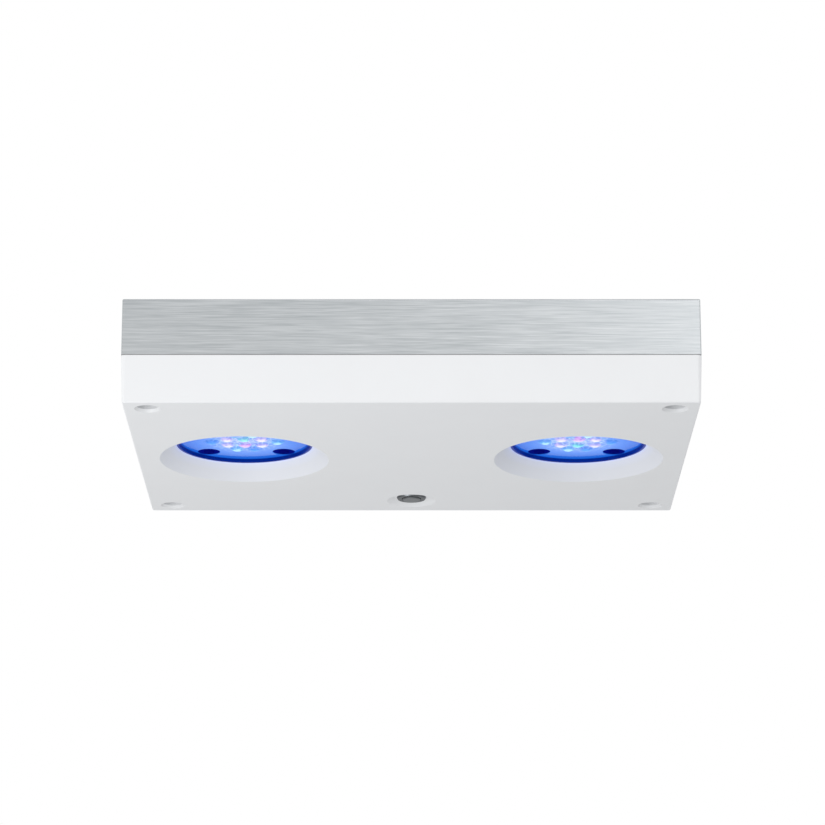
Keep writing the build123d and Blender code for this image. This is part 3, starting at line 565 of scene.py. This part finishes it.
def piece_from(name, work, finishes, body="fixture"):
    """A new piece from a bmesh, riding on a body."""
    bmesh.ops.recalc_face_normals(work, faces=work.faces)
    mesh = bpy.data.meshes.new(name)
    work.to_mesh(mesh)
    work.free()
    for finish in finishes:
        mesh.materials.append(finish)
    piece = bpy.data.objects.new(name, mesh)
    bpy.context.scene.collection.objects.link(piece)
    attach(piece, body)
    return piece


LED_HALF = 1.75 * MM
LED_BODY = 0.8 * MM
LED_DOME = 1.3 * MM
LED_CHAMFER = 0.2 * MM
LED_LEDGE = 0.15 * MM  # the height of the chamfered edge
SOLDER_HEIGHT = 0.1 * MM
SOLDER_OFFSET = 1.2 * MM
SOLDER_HALF = Vector((0.45 * MM, 1.6 * MM, 0))
MARK_HALF = Vector((0.2 * MM, 0.2 * MM, 0))
MARK_HEIGHT = 0.02 * MM
MARK_SHARE = 0.72  # where the corner mark lies, as a share of the half width


def make_led_packages(colour):
    """LED packages of one colour: solder, a chamfered ceramic body with a corner mark, and its dome."""
    node = f"leds_{colour}"
    node_low, node_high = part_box(node)
    face = node_high.z
    body_base = face - LED_BODY
    corner = Vector((LED_HALF, LED_HALF, 0))
    work = bmesh.new()
    for spot in led_middles[colour]:
        for way in (-1, 1):
            pad = Vector((spot.x + way * SOLDER_OFFSET, spot.y, face))
            add_block(work, pad - SOLDER_HALF - Vector((0, 0, SOLDER_HEIGHT)), pad + SOLDER_HALF, slot=2)
        base = Vector((spot.x, spot.y, body_base))
        ledge = Vector((spot.x, spot.y, body_base + LED_LEDGE))
        top = Vector((spot.x, spot.y, face - SOLDER_HEIGHT))
        add_block(work, ledge - corner, top + corner, slot=0)
        add_block(work, base - corner, ledge + corner, LED_CHAMFER, 0, up=False)
        mark = Vector((spot.x + LED_HALF * MARK_SHARE, spot.y + LED_HALF * MARK_SHARE, body_base))
        add_block(work, mark - MARK_HALF - Vector((0, 0, MARK_HEIGHT)), mark + MARK_HALF, slot=2)
        add_dome(work, base, LED_DOME, body_base - node_low.z, 1)
    piece = piece_from(
        f"{colour}_led_packages", work, (ceramic, materials[f"led_{colour}"], solder)
    )
    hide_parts(node)


for led_colour in LED_COLOURS:
    make_led_packages(led_colour)


RESISTOR_OFFSET = 7 * MM  # from the chips' middle line
RESISTOR_PITCH = 4.5 * MM
RESISTOR_HALF_WIDTH = 0.6 * MM
RESISTOR_HEIGHT = 0.5 * MM
RESISTOR_LENGTHS = ((-1.0, -0.7, 1), (-0.7, 0.7, 0), (0.7, 1.0, 1))  # start and end in mm, slot
ROW_MARGIN = 2 * MM


def make_resistors():
    """Chip resistors with tinned ends in two rows beside the driver's chips."""
    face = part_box("driver_board")[1].z
    chip_low, chip_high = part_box("driver_chips")
    work = bmesh.new()
    for way in (-1, 1):
        x = (chip_low.x + chip_high.x) / 2 + way * RESISTOR_OFFSET
        y = chip_low.y + ROW_MARGIN
        while y < chip_high.y - ROW_MARGIN:
            for start, end, slot in RESISTOR_LENGTHS:
                add_block(
                    work,
                    Vector((x - RESISTOR_HALF_WIDTH, y + start * MM, face)),
                    Vector((x + RESISTOR_HALF_WIDTH, y + end * MM, face + RESISTOR_HEIGHT)),
                    slot=slot,
                )
            y += RESISTOR_PITCH
    piece_from("driver_resistors", work, (resistor_black, solder))


make_resistors()


SPRING_WIRE = 0.25 * MM  # its radius


def make_spring(turns=4, steps=48, sides=10):
    """The button's coil spring, built at its rest length; the real spring shortens towards its fixed
    upper end as the cap is pressed, which this function does not do.
    """
    spring_low, spring_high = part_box("button_spring")
    centre = (spring_low + spring_high) / 2
    radius = (spring_high.x - spring_low.x) / 2 - SPRING_WIRE
    rise = spring_high.z - spring_low.z - 2 * SPRING_WIRE
    work = bmesh.new()
    loops = []
    for step in range(turns * steps + 1):
        angle = 2 * math.pi * step / steps
        outward = Vector((math.cos(angle), math.sin(angle), 0))
        spine = Vector((centre.x, centre.y, spring_low.z + SPRING_WIRE)) + outward * radius
        spine.z += rise * step / (turns * steps)
        loops.append([
            work.verts.new(
                spine
                + outward * SPRING_WIRE * math.cos(2 * math.pi * i / sides)
                + Vector((0, 0, SPRING_WIRE * math.sin(2 * math.pi * i / sides)))
            )
            for i in range(sides)
        ])
    for first, second in zip(loops, loops[1:]):
        for i in range(sides):
            j = (i + 1) % sides
            work.faces.new((first[i], first[j], second[j], second[i])).smooth = True
    work.faces.new(loops[0])
    work.faces.new(loops[-1])
    piece = piece_from("button_coil_spring", work, (materials["spring_steel"],))
    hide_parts("button_spring")
    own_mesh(piece)


make_spring()


# ---------------------------------------------------------------- floor
def make_floor():
    """A wide pale floor far below the hanging light."""
    mesh = bpy.data.meshes.new("floor")
    work = bmesh.new()
    bmesh.ops.create_grid(work, x_segments=1, y_segments=1, size=FLOOR_HALF)
    work.to_mesh(mesh)
    work.free()
    floor = bpy.data.objects.new("floor", mesh)
    floor.location = (0, 0, low.z - FLOOR_DROP)
    mesh.materials.append(moulded("floor_paint", (0.56, 0.565, 0.57), 0.9, grain=3, speckle=0.01))
    bpy.context.scene.collection.objects.link(floor)


make_floor()
